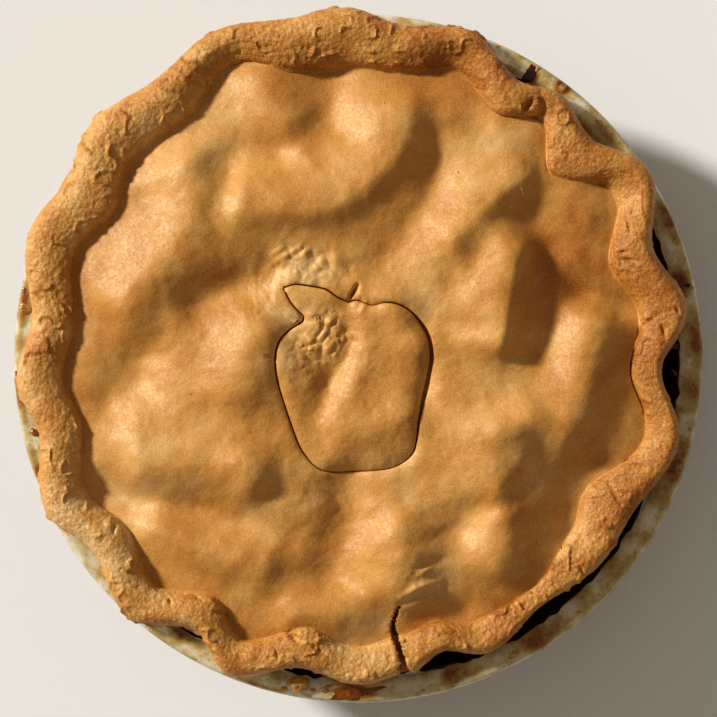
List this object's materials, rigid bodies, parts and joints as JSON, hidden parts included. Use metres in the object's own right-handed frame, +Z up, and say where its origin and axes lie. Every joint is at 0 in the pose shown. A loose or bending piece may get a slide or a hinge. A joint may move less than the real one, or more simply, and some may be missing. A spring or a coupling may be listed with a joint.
{
  "type": "double-crust apple pie in a glass pie dish",
  "caption": "Round domed apple pie with a hand-fluted pastry edge and an apple shape cut through its top crust, baked in a clear glass pie dish.",
  "frame": {"origin": "centre of the flat underside of the glass dish, on the table", "axes": "+Z up; +Y towards the leaf end of the apple cut-out (the top of the picture); +X to the picture's right"},
  "size_m": [0.254, 0.2558, 0.0655],
  "materials": {
    "clear_glass": "clear pressed glass with a faint green tint, juice and grease baked on",
    "baked_pastry": "golden-brown baked pastry, matt to satin",
    "baked_pastry_cutout": "golden-brown baked pastry, matt to satin"
  },
  "bodies": {
    "root": {"pie_dish": "clear_glass", "pie_crust": "baked_pastry", "apple_cutout": "baked_pastry_cutout"}
  },
  "joints": []
}
